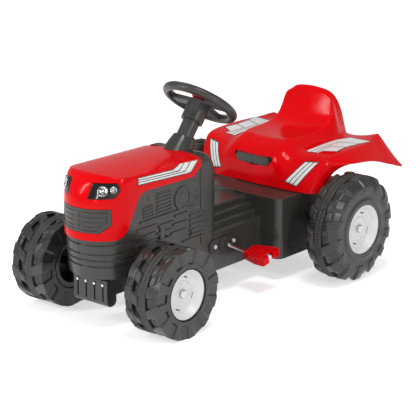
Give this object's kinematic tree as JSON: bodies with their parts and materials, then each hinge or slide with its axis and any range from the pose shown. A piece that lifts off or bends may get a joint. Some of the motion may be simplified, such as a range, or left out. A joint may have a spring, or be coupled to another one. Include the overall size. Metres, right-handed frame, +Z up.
{
  "type": "ride-on pedal tractor toy",
  "caption": "Child's ride-on tractor with a chain drive from pedals to the rear axle, steered front wheels, moulded seat with fenders, a hood over the engine body and a horn button.",
  "frame": {"origin": "on the floor, under the middle of the part's box", "axes": "+X forward to the nose, +Y to the rider's left, +Z up"},
  "size_m": [0.824, 0.516, 0.4548],
  "materials": {
    "red_gloss": "glossy bright red moulded plastic",
    "body_charcoal": "charcoal moulded plastic with a soft sheen",
    "steering_black": "dark grey moulded plastic",
    "lamp_black": "glossy black lamp panel",
    "bearing_black": "black moulded bearing plastic",
    "steel_plain": "zinc plated steel",
    "steel_bright": "bright plated steel",
    "wheel_black": "charcoal moulded wheel plastic with rounded lugs",
    "tread_rubber": "knurled quiet running ring",
    "hub_silver": "silver hub disc",
    "cap_chrome": "domed bright axle cap"
  },
  "bodies": {
    "chassis": {"body_left_half": "body_charcoal", "body_right_half": "body_charcoal", "hood": "red_gloss", "grille": "body_charcoal", "headlight_left": "lamp_black", "headlight_right": "lamp_black", "seat": "red_gloss", "seat_screws": "steel_bright", "body_screws": "steel_bright", "front_weight": "body_charcoal", "tow_hitch": "body_charcoal", "hitch_screws": "steel_bright", "front_axle": "steel_plain", "kingpin_left": "steel_plain", "kingpin_right": "steel_plain", "steering_column": "steering_black", "steering_collar": "body_charcoal", "steering_bracket": "steel_plain", "crank_bearing_left": "bearing_black", "crank_bearing_right": "bearing_black", "bearing_screws": "steel_bright", "rear_bush_left": "bearing_black", "rear_bush_right": "bearing_black", "drive_chain": "steel_plain"},
    "steering": {"steering_wheel": "steering_black", "steering_rod": "steel_plain", "horn_spring": "steel_plain"},
    "horn": {"horn_button": "red_gloss"},
    "knuckle_left": {"knuckle_left": "steel_plain", "front_wheel_left_axle_cap": "cap_chrome"},
    "knuckle_right": {"knuckle_right": "steel_plain", "front_wheel_right_axle_cap": "cap_chrome"},
    "tie_rod": {"tie_rod": "steel_plain"},
    "front_wheel_left": {"front_wheel_left_outer_half": "wheel_black", "front_wheel_left_inner_half": "wheel_black", "front_wheel_left_tread_ring": "tread_rubber", "front_wheel_left_hub_disc": "hub_silver"},
    "front_wheel_right": {"front_wheel_right_outer_half": "wheel_black", "front_wheel_right_inner_half": "wheel_black", "front_wheel_right_tread_ring": "tread_rubber", "front_wheel_right_hub_disc": "hub_silver"},
    "rear_axle": {"rear_axle": "steel_plain", "rear_sprocket": "steel_plain", "rear_spacers": "bearing_black", "rear_wheel_right_axle_cap": "cap_chrome", "rear_wheel_left_axle_cap": "cap_chrome", "rear_wheel_left_outer_half": "wheel_black", "rear_wheel_left_inner_half": "wheel_black", "rear_wheel_left_tread_ring": "tread_rubber", "rear_wheel_left_hub_disc": "hub_silver"},
    "rear_wheel_right": {"rear_wheel_right_outer_half": "wheel_black", "rear_wheel_right_inner_half": "wheel_black", "rear_wheel_right_tread_ring": "tread_rubber", "rear_wheel_right_hub_disc": "hub_silver"},
    "crank": {"crank": "steel_plain", "crank_sprocket": "steel_plain", "pedal_cap_left": "steel_bright", "pedal_cap_right": "steel_bright"},
    "pedal_left": {"pedal_left": "red_gloss"},
    "pedal_right": {"pedal_right": "red_gloss"}
  },
  "joints": [
    {"name": "steer", "type": "hinge", "parent": "chassis", "child": "steering", "pos_m": [0.084, 0, 0.335], "axis": [-0.6157, 0, 0.788], "range_deg": [-40, 40]},
    {"name": "horn_press", "type": "slide", "parent": "steering", "child": "horn", "axis": [0.6157, 0, -0.788], "range_m": [0, 0.003], "stiffness_N_per_m": 600, "deforming": ["horn_spring"]},
    {"name": "left_steer", "type": "hinge", "parent": "chassis", "child": "knuckle_left", "pos_m": [0.304, 0.098, 0.093], "axis": [0, 0, 1], "range_deg": [-19.5, 19.5]},
    {"name": "right_steer", "type": "hinge", "parent": "chassis", "child": "knuckle_right", "pos_m": [0.304, -0.098, 0.093], "axis": [0, 0, 1], "range_deg": [-19.5, 19.5]},
    {"name": "tie_rod_pivot", "type": "hinge", "parent": "knuckle_left", "child": "tie_rod", "pos_m": [0.229, 0.098, 0.0885], "axis": [0, 0, 1], "range_deg": [-19.5, 19.5]},
    {"name": "front_left_spin", "type": "hinge", "parent": "knuckle_left", "child": "front_wheel_left", "pos_m": [0.304, 0.157, 0.093], "axis": [0, 1, 0], "continuous": true},
    {"name": "front_right_spin", "type": "hinge", "parent": "knuckle_right", "child": "front_wheel_right", "pos_m": [0.304, -0.157, 0.093], "axis": [0, 1, 0], "continuous": true},
    {"name": "rear_axle_spin", "type": "hinge", "parent": "chassis", "child": "rear_axle", "pos_m": [-0.208, 0, 0.116], "axis": [0, 1, 0], "continuous": true, "deforming": ["drive_chain"]},
    {"name": "rear_right_spin", "type": "hinge", "parent": "rear_axle", "child": "rear_wheel_right", "pos_m": [-0.208, -0.216, 0.116], "axis": [0, 1, 0], "continuous": true},
    {"name": "crank_spin", "type": "hinge", "parent": "chassis", "child": "crank", "pos_m": [0.045, 0, 0.11], "axis": [0, 1, 0], "continuous": true, "deforming": ["drive_chain"]},
    {"name": "pedal_left_spin", "type": "hinge", "parent": "crank", "child": "pedal_left", "pos_m": [-0.01432, 0.125, 0.08107], "axis": [0, 1, 0], "continuous": true},
    {"name": "pedal_right_spin", "type": "hinge", "parent": "crank", "child": "pedal_right", "pos_m": [0.10432, -0.125, 0.13893], "axis": [0, 1, 0], "continuous": true}
  ],
  "couplings": [
    {"joint": "left_steer", "follows": "steer", "ratio": 0.485},
    {"joint": "right_steer", "follows": "steer", "ratio": 0.485},
    {"joint": "tie_rod_pivot", "follows": "steer", "ratio": -0.485},
    {"joint": "crank_spin", "follows": "rear_axle_spin", "ratio": 0.7}
  ]
}
